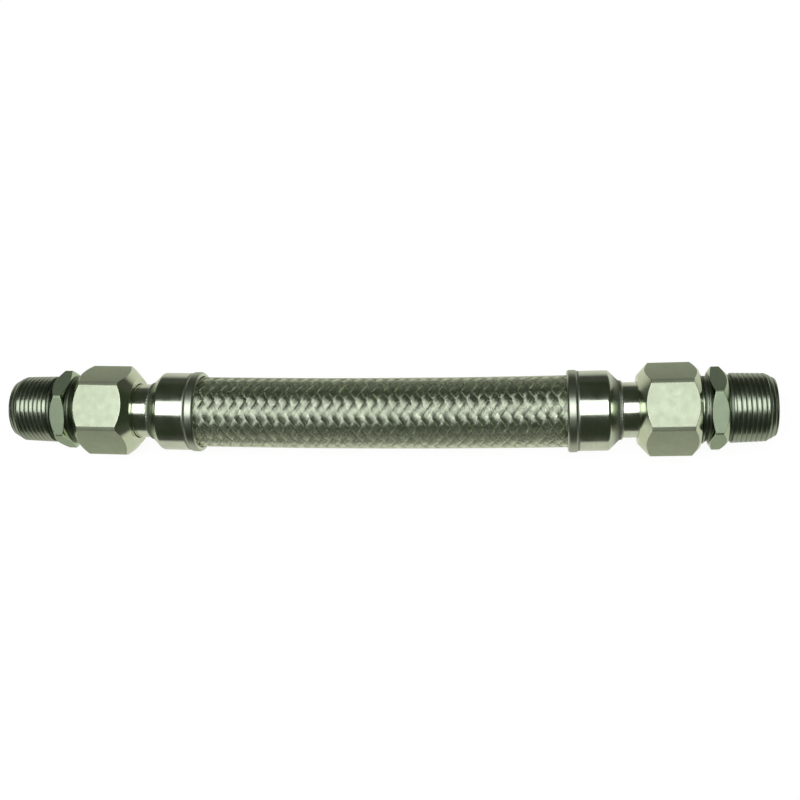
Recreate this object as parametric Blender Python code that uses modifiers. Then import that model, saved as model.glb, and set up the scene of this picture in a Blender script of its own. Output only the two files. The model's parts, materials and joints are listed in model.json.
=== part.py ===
"""Braided stainless steel hose connector, 3/4 inch size.

A corrugated hose under a wire braid is held at each end by a collar that is welded to a tube
tail. A union nut draws the tail's cone on to the nose of a male pipe adapter. Metres, +Z up.
The connector lies along X on the flats of its two nuts, with a slight bow towards -Y, and its
origin is on the floor midway between the nuts.
"""

import math

import bmesh
import bpy
import numpy as np
from mathutils import Matrix, Vector

# Run of the hose
BRAID_SHOWING = 0.1449            # braid between the two collars
BOW_ANGLE = math.radians(2.2)     # between the two ends, seen from above
SEAT_GAP = 0.0003                 # kept between pieces that touch

# Corrugated hose
HOSE_CUFF_STEP = 0.00047          # cuff below the tube's outside
HOSE_DEPTH = 0.00275              # crest to root
HOSE_WALL = 0.00035
HOSE_PITCH = 0.0052
HOSE_CUFF = 0.0035                # plain end that is welded to the tail
HOSE_SIDES = 14

# Wire braid
STRANDS_EACH_WAY = 12
BRAID_PERIOD = 0.0043             # along the hose, between crossings in one row
BRAID_FLOOR = 0.00035             # wall at the gaps between strands
BRAID_RELIEF = 0.0004             # how far a strand's back stands over the gaps
STRAND_BACK = 0.56                # ridge of a crossing, as a share of its cell
BRAID_LAP = 0.0006                # woven relief carried on under the collar
BRAID_LINING_STEPS = 6

# Braid collar
COLLAR_LENGTH = 0.0201
COLLAR_WALL = 0.0012
COLLAR_SHOULDER = 0.0040          # sloping outer end, as long as it is deep
COLLAR_NOSE = 0.0006              # plain ring that the weld joins to the tail
BEAD_WIDTH = 0.0040
BEAD_HEIGHT = 0.00045
BEAD_SLOPE = 0.0006

# Tube tail
TUBE_RADIUS = 0.01067
TUBE_WALL = 0.00242
TAIL_GRIP = 0.0046                # length inside the collar
TAIL_SHOWING = 0.0064             # length between collar and nut
HEAD_PLAY = 0.0005                # between the head and the nut's thread
HEAD_LENGTH = 0.0041              # cylindrical length of the head
HEAD_RIM = 0.00166                # wall of the head at the cone's mouth
CONE_ANGLE = math.radians(37.0)   # seat of the union, from the axis

# Union nut
UNION_THREAD_RADIUS = 0.0135
NUT_LENGTH = 0.0229
NUT_FLAT_WALL = 0.0022            # over the thread at the middle of a flat
NUT_CORNER_HEIGHT = 0.0020        # corner over flat, where the turned blank ends it
NUT_FACE_INSET = 0.0008           # front face below the flats
NUT_BACK_RIM = 0.00223            # back face over the hole for the tube
NUT_BACK_TAPER = 0.0044
NUT_BACK_WALL = 0.00425
NUT_MOUTH_CHAMFER = 0.0006

# Male adapter
NECK_SHOWING = 0.0036             # between nut and hexagon
HEX_THICKNESS = 0.0071
HEX_FLAT_STEP = 0.0005            # middle of a flat over the union thread
HEX_CORNER_HEIGHT = 0.00195       # corner over flat, where the turned blank ends it
HEX_FACE_INSET = 0.0001           # face below the flats
HEX_CHAMFER_ANGLE = math.radians(30.0)
HEX_FRONT_INSET = 0.0010          # face on the pipe side below the flats, bevelled at 45 degrees
ADAPTER_BORE_RADIUS = 0.0080
NOSE_RIM = 0.0010                 # blunt end of the cone round the bore
NOSE_DEPTH = 0.0013               # top of the cone below the thread's crests
NOSE_COLLAR = 0.0015              # plain length behind the cone
RELIEF_DEPTH = 0.0012
RELIEF_LENGTH = 0.0020
PIPE_THREAD_LENGTH = 0.0175
PIPE_RADIUS = 0.01334
PIPE_TAPER = 1.0 / 32.0           # on the radius
PIPE_RUNOUT_LENGTH = 0.0019
PIPE_RUNOUT_DEPTH = 0.00084
TIP_CHAMFER = 0.0036
TIP_CHAMFER_DEPTH = 0.00234       # from the thread's large end down to the tip's face
TIP_BORE_CHAMFER = 0.0006

# How far each adapter's hexagon is turned from its nut's
LEFT_HEX_TURN = math.radians(43.0)
RIGHT_HEX_TURN = math.radians(13.0)

TURNED_SIDES = 32
TAIL_SIDES = 24
CUTTER_SPARE = 0.0004             # how far a cutter passes the face that it starts from

# Worked out from the sizes above
HOSE_ROOT_RADIUS = TUBE_RADIUS - HOSE_CUFF_STEP
HOSE_CREST_RADIUS = HOSE_ROOT_RADIUS + HOSE_DEPTH
LINING_RADIUS = HOSE_CREST_RADIUS + SEAT_GAP
BRAID_LOW_RADIUS = LINING_RADIUS + BRAID_FLOOR
BRAID_RADIUS = BRAID_LOW_RADIUS + BRAID_RELIEF
COLLAR_BORE_RADIUS = BRAID_RADIUS + SEAT_GAP
COLLAR_RADIUS = COLLAR_BORE_RADIUS + COLLAR_WALL
TUBE_HOLE_RADIUS = TUBE_RADIUS + SEAT_GAP
TAIL_BORE_RADIUS = TUBE_RADIUS - TUBE_WALL
NUT_THREAD_RADIUS = UNION_THREAD_RADIUS + SEAT_GAP
NUT_FLATS = 2 * (NUT_THREAD_RADIUS + NUT_FLAT_WALL)
NUT_CORNER_RADIUS = NUT_FLATS / 2 + NUT_CORNER_HEIGHT
NUT_FRONT_RADIUS = NUT_FLATS / 2 - NUT_FACE_INSET
NUT_BACK_RADIUS = TUBE_HOLE_RADIUS + NUT_BACK_RIM
HEAD_RADIUS = NUT_THREAD_RADIUS - HEAD_PLAY
CONE_MOUTH_RADIUS = HEAD_RADIUS - HEAD_RIM
HEX_FLATS = 2 * (UNION_THREAD_RADIUS + HEX_FLAT_STEP)
HEX_CORNER_RADIUS = HEX_FLATS / 2 + HEX_CORNER_HEIGHT
HEX_FACE_RADIUS = HEX_FLATS / 2 - HEX_FACE_INSET
HEX_FRONT_RADIUS = HEX_FLATS / 2 - HEX_FRONT_INSET
NOSE_RADIUS = ADAPTER_BORE_RADIUS + NOSE_RIM
NOSE_TOP_RADIUS = UNION_THREAD_RADIUS - NOSE_DEPTH
RELIEF_RADIUS = UNION_THREAD_RADIUS - RELIEF_DEPTH
PIPE_RUNOUT_RADIUS = PIPE_RADIUS - PIPE_RUNOUT_DEPTH
TIP_RADIUS = PIPE_RADIUS - TIP_CHAMFER_DEPTH
AXIS_HEIGHT = max(NUT_FLATS / 2, HEX_CORNER_RADIUS)

# Stations along an end's own axis, from the inner edge of its collar outwards
TAIL_START = COLLAR_LENGTH - TAIL_GRIP
HOSE_END = TAIL_START - SEAT_GAP
NUT_BACK = COLLAR_LENGTH + TAIL_SHOWING
NUT_FRONT = NUT_BACK + NUT_LENGTH
NUT_SEAT = NUT_BACK + NUT_BACK_WALL
HEX_BACK = NUT_FRONT + NECK_SHOWING
HEX_FRONT = HEX_BACK + HEX_THICKNESS
TIP = HEX_FRONT + PIPE_THREAD_LENGTH
NUT_MIDDLE = (NUT_BACK + NUT_FRONT) / 2
SHOULDER_LOW = NUT_SEAT + SEAT_GAP * (math.sqrt(2.0) - 1)
SHOULDER_TOP = SHOULDER_LOW + HEAD_RADIUS - TUBE_RADIUS
TAIL_FACE = SHOULDER_TOP + HEAD_LENGTH

CURVATURE = BOW_ANGLE / BRAID_SHOWING


def run_point(along):
    """Centre line of the hose at a distance from its middle, before the origin is moved."""
    turn = CURVATURE * along
    x = along * np.sinc(turn / math.pi)
    y = along * turn / 2 * np.sinc(turn / (2 * math.pi)) ** 2
    return x, y


def end_shift():
    """Height in Y of a nut's middle over the hose's middle."""
    _, y = run_point(BRAID_SHOWING / 2)
    return y + NUT_MIDDLE * math.sin(BOW_ANGLE / 2)


def bend_on_run(mesh):
    """Carry a mesh made straight along Z on to the hose's bowed centre line."""
    half = BRAID_SHOWING / 2
    drop = end_shift()
    for vertex in mesh.vertices:
        across, side, along = vertex.co
        held = max(-half, min(half, along))
        x, y = run_point(held)
        turn = CURVATURE * held
        ahead = Vector((math.cos(turn), math.sin(turn), 0.0))
        left = Vector((-math.sin(turn), math.cos(turn), 0.0))
        place = Vector((x, y - drop, AXIS_HEIGHT)) + ahead * (along - held) + left * side
        vertex.co = place - Vector((0.0, 0.0, across))


def steel(name, colour, roughness):
    material = bpy.data.materials.new(name)
    material.use_nodes = True
    shader = material.node_tree.nodes["Principled BSDF"]
    shader.inputs["Base Color"].default_value = (*colour, 1.0)
    shader.inputs["Metallic"].default_value = 1.0
    shader.inputs["Roughness"].default_value = roughness
    return material


def new_object(name, mesh, collection, material=None):
    piece = bpy.data.objects.new(name, mesh)
    collection.objects.link(piece)
    if material is not None:
        mesh.materials.append(material)
    return piece


def turned(name, outline, sides, collection, material=None):
    """Spin a closed outline of (radius, station) points that runs down its outer side."""
    mesh = bpy.data.meshes.new(name)
    points = [(radius, 0.0, station) for radius, station in outline]
    edges = [(i, (i + 1) % len(points)) for i in range(len(points))]
    mesh.from_pydata(points, edges, [])
    piece = new_object(name, mesh, collection, material)
    spin = piece.modifiers.new("Spin", "SCREW")
    spin.axis = "Z"
    spin.angle = math.tau
    spin.steps = sides
    spin.render_steps = sides
    spin.use_merge_vertices = True
    spin.merge_threshold = 0.00001
    spin.use_smooth_shade = False
    return piece


def mill_flats(piece, across_flats, low, high, cutters, turn=0.0):
    """Cut a hexagon on a turned piece, with one flat facing its own X when turn is 0."""
    corner = across_flats / math.sqrt(3.0)
    outside = corner * 2.0
    ring = [(outside, high), (outside, low), (corner, low), (corner, high)]
    cutter = turned(piece.name + "_flats_cutter", ring, 6, cutters)
    cutter.parent = piece.parent
    cutter.rotation_euler.z = turn + math.radians(30.0)
    cutter.hide_render = True
    cutter.display_type = "WIRE"
    cut = piece.modifiers.new("Flats", "BOOLEAN")
    cut.operation = "DIFFERENCE"
    cut.solver = "EXACT"
    cut.object = cutter


def corrugated_hose(collection, material):
    """Thin annular bellows with a plain cuff at each end, one wall all through."""
    half = BRAID_SHOWING / 2 + HOSE_END
    bellows_half = half - HOSE_CUFF
    waves = max(1, round(2 * bellows_half / HOSE_PITCH))
    outside = [(HOSE_ROOT_RADIUS, half), (HOSE_ROOT_RADIUS, bellows_half)]
    for wave in range(waves):
        crest_at = bellows_half - (wave + 0.5) * 2 * bellows_half / waves
        root_at = bellows_half - (wave + 1) * 2 * bellows_half / waves
        outside.append((HOSE_CREST_RADIUS, crest_at))
        outside.append((HOSE_ROOT_RADIUS, root_at))
    outside.append((HOSE_ROOT_RADIUS, -half))
    inside = [(radius - HOSE_WALL, station) for radius, station in reversed(outside)]
    straight = turned("corrugated_hose", outside + inside, HOSE_SIDES, collection, material)
    return bent(straight)


def bent(straight):
    """Apply a straight piece's modifiers and carry the result on to the bowed run."""
    bpy.context.view_layer.update()
    depsgraph = bpy.context.evaluated_depsgraph_get()
    mesh = bpy.data.meshes.new_from_object(straight.evaluated_get(depsgraph))
    straight.modifiers.clear()
    straight.data = mesh
    bend_on_run(mesh)
    return straight


def wire_braid(collection, material):
    """Sleeve of crossing strands, one over and one under, smooth where the collars hold it.

    Crossings and gaps alternate on a grid with two columns to a period and two rows to a
    strand. A crossing is a cell between four gaps, with a ridge along its upper strand.
    """
    rows = 2 * STRANDS_EACH_WAY
    woven_half = BRAID_SHOWING / 2 + BRAID_LAP
    columns = 2 * max(1, round(2 * woven_half / BRAID_PERIOD))
    half = BRAID_SHOWING / 2 + HOSE_END
    column_step = 2 * woven_half / columns
    row_step = math.tau / rows

    build = bmesh.new()

    def corner(radius, column, row):
        angle = row * row_step
        station = -woven_half + column * column_step
        return build.verts.new((radius * math.cos(angle), radius * math.sin(angle), station))

    def ring(radius, station):
        return [build.verts.new((radius * math.cos(row * row_step),
                                 radius * math.sin(row * row_step), station))
                for row in range(rows)]

    def sleeve(near, far):
        for row in range(rows):
            after = (row + 1) % rows
            build.faces.new((near[row], near[after], far[after], far[row]))

    grid = {}
    for column in range(columns + 1):
        for row in range(rows):
            at_edge = column in (0, columns)
            if at_edge or (column + row) % 2:
                radius = BRAID_RADIUS if at_edge else BRAID_LOW_RADIUS
                grid[column, row] = corner(radius, column, row)

    for column in range(1, columns):
        lean = 1 if column % 2 else -1
        for row in range(rows):
            if (column + row) % 2:
                continue
            back = STRAND_BACK / 2
            ahead = corner(BRAID_RADIUS, column + back, row + lean * back)
            behind = corner(BRAID_RADIUS, column - back, row - lean * back)
            left, right = grid[column - 1, row], grid[column + 1, row]
            over, under = grid[column, (row + lean) % rows], grid[column, (row - lean) % rows]
            faces = [(ahead, over, right), (behind, under, left), (behind, ahead, right),
                     (behind, right, under), (ahead, behind, left), (ahead, left, over)]
            for face in faces:
                build.faces.new(face if lean > 0 else face[::-1])

    for column, inner in ((0, 1), (columns, columns - 1)):
        for row in range(rows):
            if (column + row) % 2:
                continue
            middle, apex = grid[column, row], grid[inner, row]
            before, after = grid[column, (row - 1) % rows], grid[column, (row + 1) % rows]
            for face in ((middle, apex, before), (middle, after, apex)):
                build.faces.new(face)

    first = [grid[0, row] for row in range(rows)]
    last = [grid[columns, row] for row in range(rows)]
    low_end = ring(BRAID_RADIUS, -half)
    high_end = ring(BRAID_RADIUS, half)
    sleeve(low_end, first)
    sleeve(last, high_end)
    linings = [ring(LINING_RADIUS, half - 2 * half * step / BRAID_LINING_STEPS)
               for step in range(BRAID_LINING_STEPS + 1)]
    for near, far in zip([high_end] + linings, linings + [low_end]):
        sleeve(near, far)

    bmesh.ops.recalc_face_normals(build, faces=build.faces)
    mesh = bpy.data.meshes.new("wire_braid")
    build.to_mesh(mesh)
    build.free()
    bend_on_run(mesh)
    return new_object("wire_braid", mesh, collection, material)


def collar(side, collection, material):
    """Thin cup over the braid's end, with a bead at its open edge and a sloping shoulder."""
    slope_start = COLLAR_LENGTH - COLLAR_NOSE
    outer_low = COLLAR_RADIUS - COLLAR_SHOULDER
    wall_slant = COLLAR_WALL * math.sqrt(2.0)
    inner_top = slope_start - wall_slant + (outer_low - TUBE_HOLE_RADIUS)
    inner_low = inner_top - (COLLAR_BORE_RADIUS - TUBE_HOLE_RADIUS)
    bead = COLLAR_RADIUS + BEAD_HEIGHT
    outline = [
        (outer_low, COLLAR_LENGTH),
        (outer_low, slope_start),
        (COLLAR_RADIUS, slope_start - COLLAR_SHOULDER),
        (COLLAR_RADIUS, BEAD_WIDTH),
        (bead, BEAD_WIDTH - BEAD_SLOPE),
        (bead, BEAD_SLOPE),
        (COLLAR_RADIUS, 0.0),
        (COLLAR_BORE_RADIUS, 0.0),
        (COLLAR_BORE_RADIUS, inner_low),
        (TUBE_HOLE_RADIUS, inner_top),
        (TUBE_HOLE_RADIUS, COLLAR_LENGTH),
    ]
    return turned("collar_" + side, outline, TURNED_SIDES, collection, material)


def tail(side, collection, material):
    """Tube with an upset head: a shoulder for the nut and a cone for the adapter's nose."""
    cone_depth = (CONE_MOUTH_RADIUS - TAIL_BORE_RADIUS) / math.tan(CONE_ANGLE)
    outline = [
        (HEAD_RADIUS, TAIL_FACE),
        (HEAD_RADIUS, SHOULDER_TOP),
        (TUBE_RADIUS, SHOULDER_LOW),
        (TUBE_RADIUS, TAIL_START),
        (TAIL_BORE_RADIUS, TAIL_START),
        (TAIL_BORE_RADIUS, TAIL_FACE - cone_depth),
        (CONE_MOUTH_RADIUS, TAIL_FACE),
    ]
    return turned("tail_" + side, outline, TAIL_SIDES, collection, material)


def union_nut(side, parent, collection, cutters, material):
    """Hexagon nut with a long back taper, bored for the tail and for the union thread."""
    front_chamfer = NUT_CORNER_RADIUS - NUT_FRONT_RADIUS
    outline = [
        (NUT_FRONT_RADIUS, NUT_FRONT),
        (NUT_CORNER_RADIUS, NUT_FRONT - front_chamfer),
        (NUT_CORNER_RADIUS, NUT_BACK + NUT_BACK_TAPER),
        (NUT_BACK_RADIUS, NUT_BACK),
        (TUBE_HOLE_RADIUS, NUT_BACK),
        (TUBE_HOLE_RADIUS, NUT_SEAT),
        (NUT_THREAD_RADIUS, NUT_SEAT + NUT_THREAD_RADIUS - TUBE_HOLE_RADIUS),
        (NUT_THREAD_RADIUS, NUT_FRONT - NUT_MOUTH_CHAMFER),
        (NUT_THREAD_RADIUS + NUT_MOUTH_CHAMFER, NUT_FRONT),
    ]
    nut = turned("union_nut_" + side, outline, TURNED_SIDES, collection, material)
    nut.parent = parent
    mill_flats(nut, NUT_FLATS, NUT_BACK - CUTTER_SPARE, NUT_FRONT + CUTTER_SPARE, cutters)
    return nut


def adapter(side, turn, parent, collection, cutters, material):
    """Male adapter: cone nose, union thread, hexagon and tapered pipe thread, bored through."""
    rise = SEAT_GAP / math.cos(CONE_ANGLE)
    slope = math.tan(CONE_ANGLE)
    nose = TAIL_FACE + (NOSE_RADIUS + rise - CONE_MOUTH_RADIUS) / slope
    nose_top = TAIL_FACE + (NOSE_TOP_RADIUS + rise - CONE_MOUTH_RADIUS) / slope
    thread_start = nose_top + NOSE_COLLAR
    thread_full = thread_start + NOSE_DEPTH
    chamfer = (HEX_CORNER_RADIUS - HEX_FACE_RADIUS) * math.tan(HEX_CHAMFER_ANGLE)
    runout_end = HEX_FRONT + PIPE_RUNOUT_LENGTH
    chamfer_end = TIP - TIP_CHAMFER
    small_end_radius = PIPE_RADIUS - PIPE_TAPER * (chamfer_end - runout_end)
    outline = [
        (TIP_RADIUS, TIP),
        (small_end_radius, chamfer_end),
        (PIPE_RADIUS, runout_end),
        (PIPE_RUNOUT_RADIUS, runout_end - PIPE_RUNOUT_DEPTH),
        (PIPE_RUNOUT_RADIUS, HEX_FRONT),
        (HEX_FRONT_RADIUS, HEX_FRONT),
        (HEX_CORNER_RADIUS, HEX_FRONT - (HEX_CORNER_RADIUS - HEX_FRONT_RADIUS)),
        (HEX_CORNER_RADIUS, HEX_BACK + chamfer),
        (HEX_FACE_RADIUS, HEX_BACK),
        (RELIEF_RADIUS, HEX_BACK),
        (RELIEF_RADIUS, HEX_BACK - RELIEF_LENGTH + RELIEF_DEPTH),
        (UNION_THREAD_RADIUS, HEX_BACK - RELIEF_LENGTH),
        (UNION_THREAD_RADIUS, thread_full),
        (NOSE_TOP_RADIUS, thread_start),
        (NOSE_TOP_RADIUS, nose_top),
        (NOSE_RADIUS, nose),
        (ADAPTER_BORE_RADIUS, nose),
        (ADAPTER_BORE_RADIUS, TIP - TIP_BORE_CHAMFER),
        (ADAPTER_BORE_RADIUS + TIP_BORE_CHAMFER, TIP),
    ]
    piece = turned("adapter_" + side, outline, TURNED_SIDES, collection, material)
    piece.parent = parent
    mill_flats(piece, HEX_FLATS, HEX_BACK - CUTTER_SPARE, HEX_FRONT + CUTTER_SPARE, cutters, turn)
    return piece


def end_frame(side, collection):
    """Empty at the hose's end, with its own Z pointing outwards and its X up or down."""
    sign = 1.0 if side == "right" else -1.0
    x, y = run_point(BRAID_SHOWING / 2)
    frame = bpy.data.objects.new("end_" + side, None)
    collection.objects.link(frame)
    frame.location = (sign * x, y - end_shift(), AXIS_HEIGHT)
    frame.rotation_euler = (0.0, sign * math.pi / 2, sign * BOW_ANGLE / 2)
    return frame


def main():
    for item in list(bpy.data.objects):
        bpy.data.objects.remove(item, do_unlink=True)
    pieces = bpy.data.collections.new("hose_connector")
    cutters = bpy.data.collections.new("cutters")
    for collection in (pieces, cutters):
        bpy.context.scene.collection.children.link(collection)

    hose_steel = steel("hose_steel", (0.60, 0.60, 0.56), 0.35)
    braid_steel = steel("braid_steel", (0.52, 0.55, 0.47), 0.32)
    collar_steel = steel("collar_steel", (0.62, 0.64, 0.58), 0.18)
    tube_steel = steel("tube_steel", (0.60, 0.61, 0.55), 0.20)
    nut_steel = steel("nut_steel", (0.74, 0.77, 0.68), 0.45)
    adapter_steel = steel("adapter_steel", (0.58, 0.60, 0.53), 0.22)

    corrugated_hose(pieces, hose_steel)
    wire_braid(pieces, braid_steel)
    for side, hex_turn in (("left", LEFT_HEX_TURN), ("right", RIGHT_HEX_TURN)):
        end = end_frame(side, pieces)
        for piece in (collar(side, pieces, collar_steel), tail(side, pieces, tube_steel)):
            piece.parent = end
        union_nut(side, end, pieces, cutters, nut_steel)
        adapter(side, hex_turn, end, pieces, cutters, adapter_steel)
    bpy.context.view_layer.update()


main()
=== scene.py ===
"""Detailed look of the braided stainless steel hose connector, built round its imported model.

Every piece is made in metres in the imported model's frame. Pieces at an end of the connector
are made about their own axis first: a station is a distance along that axis, outwards from
the inner edge of the end's collar, and a place round it is an angle from the end's own X.
"""

import json
import math
from types import SimpleNamespace

import bmesh
import bpy
import numpy as np
from bpy.props import FloatProperty, FloatVectorProperty, IntProperty, PointerProperty
from mathutils import Matrix, Vector


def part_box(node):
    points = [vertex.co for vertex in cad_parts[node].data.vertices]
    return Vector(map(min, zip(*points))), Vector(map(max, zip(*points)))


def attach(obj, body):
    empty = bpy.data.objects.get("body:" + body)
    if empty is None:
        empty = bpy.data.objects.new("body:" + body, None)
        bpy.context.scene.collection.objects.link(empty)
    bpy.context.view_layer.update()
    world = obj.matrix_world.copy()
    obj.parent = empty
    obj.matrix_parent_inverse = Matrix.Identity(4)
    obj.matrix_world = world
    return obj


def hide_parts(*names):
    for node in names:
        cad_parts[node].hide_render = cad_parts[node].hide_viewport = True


bl_info = {
    "name": "Braided Hose Connector",
    "version": (1, 0, 0),
    "blender": (4, 5, 0),
    "location": "View3D > Sidebar > Hose Connector",
    "description": "Detailed pieces, finishes, light and camera of a braided steel hose connector",
    "category": "Object",
}

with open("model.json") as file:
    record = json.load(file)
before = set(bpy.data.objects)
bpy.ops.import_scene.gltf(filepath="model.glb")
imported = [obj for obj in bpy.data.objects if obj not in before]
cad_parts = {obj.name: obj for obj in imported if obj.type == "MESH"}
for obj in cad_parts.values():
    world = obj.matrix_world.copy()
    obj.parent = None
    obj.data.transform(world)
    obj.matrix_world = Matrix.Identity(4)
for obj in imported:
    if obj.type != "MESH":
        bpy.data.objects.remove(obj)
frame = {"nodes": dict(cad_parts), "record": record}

BODY = "root"
SIDES = ("left", "right")

SIXTH = math.radians(60.0)        # from one flat of a hexagon to the next
ARC_STEPS = 3                     # steps in the arc of a rounded corner
CORNER_ROWS = ARC_STEPS + 3       # rows of an outline at each of its corners
FLAT_HOLD = 0.00006               # from an arc to the row that keeps the face beside it flat
NO_SIDE = 1e-7                    # a side of an outline shorter than this isn't there
FOLDED = 0.02                     # a corner of less than this angle isn't rounded
CROSSING_POINTS = 3.0             # points of a wire on each crossing, the second in its middle

# Edge marks: over nought for bright broken edges, worn shine with a painted highlight; under
# nought for painted shade in corners and grooves
BRIGHT = 1.0
CORNER_SHADE = -0.6


def length(name, description, default):
    """A size in metres that a user can change."""
    return FloatProperty(name=name, description=description, default=default, min=0.0,
                         subtype="DISTANCE", unit="LENGTH", precision=5)


def angle(name, description, degrees):
    """An angle that a user can change."""
    return FloatProperty(name=name, description=description, default=math.radians(degrees),
                         subtype="ANGLE", unit="ROTATION")


def share(name, description, default, highest=1.0):
    """A plain number from nought upwards."""
    return FloatProperty(name=name, description=description, default=default, min=0.0,
                         max=highest, subtype="FACTOR")


def count(name, description, default, lowest, highest):
    """A whole number that a user can change."""
    return IntProperty(name=name, description=description, default=default, min=lowest,
                       max=highest)


def place(name, description, default):
    """A place in metres."""
    return FloatVectorProperty(name=name, description=description, default=default, size=3,
                               subtype="TRANSLATION", unit="LENGTH")


def colour(name, description, default):
    """A surface colour."""
    return FloatVectorProperty(name=name, description=description, default=default, size=3,
                               min=0.0, max=1.0, subtype="COLOR")


class BraidSettings(bpy.types.PropertyGroup):
    """Sizes and finish of the woven wire sleeve."""

    strands: count("Strands each way", "Strands that run in one direction", 12, 4, 48)
    wires: count("Wires in a strand", "Wires side by side in one strand", 8, 1, 16)
    crossings: count("Crossings", "Crossings along one wire", 81, 3, 200)
    wire_sides: count("Wire sides", "Sides of one wire", 4, 3, 8)
    wire_diameter: length("Wire diameter", "Thickness of one wire", 0.000375)
    wire_spacing: length("Wire spacing", "Between two wires of a strand", 0.000405)
    middle_radius: length("Middle radius", "From the hose's axis to the braid's middle", 0.01365)
    crossing_lift: length("Crossing lift", "Rise of a strand that passes over another", 0.00018)
    crossing_step: length("Crossing step", "Along the hose, between two crossings", 0.00215)
    crown_width: share("Crown width", "Half of a strand's level back, in crossing steps", 0.36)
    crown_shoulder: share("Crown shoulder", "Rise at that back's ends, in lifts", 0.85)
    colour: colour("Wire colour", "Bright drawn wire", (0.80, 0.87, 0.70))
    roughness: share("Wire roughness", "Gloss of the wires", 0.19)


class BellowsSettings(bpy.types.PropertyGroup):
    """Sizes and finish of the corrugated hose inside the braid."""

    crest_radius: length("Crest radius", "Outside of a wave", 0.01294)
    root_radius: length("Root radius", "Outside of the hose between waves", 0.0102)
    wall: length("Wall", "Thickness of the hose's sheet", 0.00035)
    pitch: length("Pitch", "Distance between two waves", 0.0052)
    cuff: length("Cuff", "Plain end that is welded to the tail", 0.0035)
    colour: colour("Hose colour", "Dull rolled sheet", (0.52, 0.54, 0.47))
    roughness: share("Hose roughness", "Gloss of the hose", 0.34)


class EndSettings(bpy.types.PropertyGroup):
    """Sizes of the collar and the tube tail at each end."""

    collar_length: length("Collar length", "From the open edge to the weld", 0.0201)
    collar_bore: length("Collar bore", "Inside radius of the collar", 0.0143)
    collar_wall: length("Collar wall", "Thickness of the collar", 0.0012)
    shoulder: length("Shoulder", "Length and depth of the sloping end", 0.0040)
    nose: length("Nose ring", "Plain ring at the weld", 0.0006)
    bead_width: length("Bead width", "Width of the ring at the open edge", 0.0040)
    bead_height: length("Bead height", "Rise of that ring", 0.00045)
    bead_slope: length("Bead slope", "Width of each of its sides", 0.0007)
    groove_depth: length("Groove depth", "Depth of the groove beside the bead", 0.00008)
    groove_width: length("Groove width", "Width of that groove", 0.0009)
    weld_height: length("Weld height", "Rise of the weld round the tube", 0.00074)
    weld_width: length("Weld width", "Width of the weld along the tube", 0.0013)
    weld_lap: length("Weld lap", "How far the weld lies over the collar", 0.0004)
    weld_ripples: count("Weld ripples", "Ripples once round the tube", 56, 8, 200)
    tube_radius: length("Tube radius", "Outside of the tube tail", 0.01067)
    tube_bore: length("Tube bore", "Inside of the tube tail", 0.00825)
    tail_grip: length("Tail grip", "Length of the tail inside the collar", 0.0046)
    tail_showing: length("Tail showing", "Length of tube between collar and nut", 0.0064)
    head_radius: length("Head radius", "Outside of the upset head in the nut", 0.0133)
    head_length: length("Head length", "Cylindrical length of that head", 0.0041)
    head_rim: length("Head rim", "Wall of the head at the mouth of its cone", 0.00166)
    cone: angle("Seat angle", "Slope of the cone seat from the axis", 37.0)
    gap: length("Gap", "Room between two pieces that touch", 0.0003)
    collar_colour: colour("Collar colour", "Polished pressing", (0.66, 0.72, 0.60))
    tube_colour: colour("Tube colour", "Polished turned tube", (0.66, 0.71, 0.59))
    polished: share("Polished roughness", "Gloss of collars and tubes", 0.15)
    weld_roughness: share("Weld roughness", "Gloss of the welds", 0.30)


class NutSettings(bpy.types.PropertyGroup):
    """Sizes and finish of the union nuts."""

    nut_length: length("Nut length", "Along the axis", 0.0229)
    across_flats: length("Across flats", "Width between two flats", 0.0320)
    corner_radius: length("Corner radius", "Radius of the turned blank", 0.0180)
    front_radius: length("Front radius", "Radius of the front face", 0.0152)
    back_radius: length("Back radius", "Radius of the back face", 0.0132)
    back_taper: length("Back taper", "Length of the sloping back", 0.0044)
    back_wall: length("Back wall", "Wall behind the tail's head", 0.00425)
    thread_radius: length("Thread radius", "Inside of the nut", 0.0138)
    tube_hole: length("Tube hole", "Radius of the hole for the tube", 0.01097)
    mouth_chamfer: length("Mouth chamfer", "Chamfer of the threaded mouth", 0.0006)
    edge: length("Edge rounding", "Radius of the broken edges", 0.00025)
    colour: colour("Nut colour", "Satin milled steel", (0.66, 0.73, 0.56))
    roughness: share("Nut roughness", "Gloss of the milled flats", 0.58)


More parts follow.
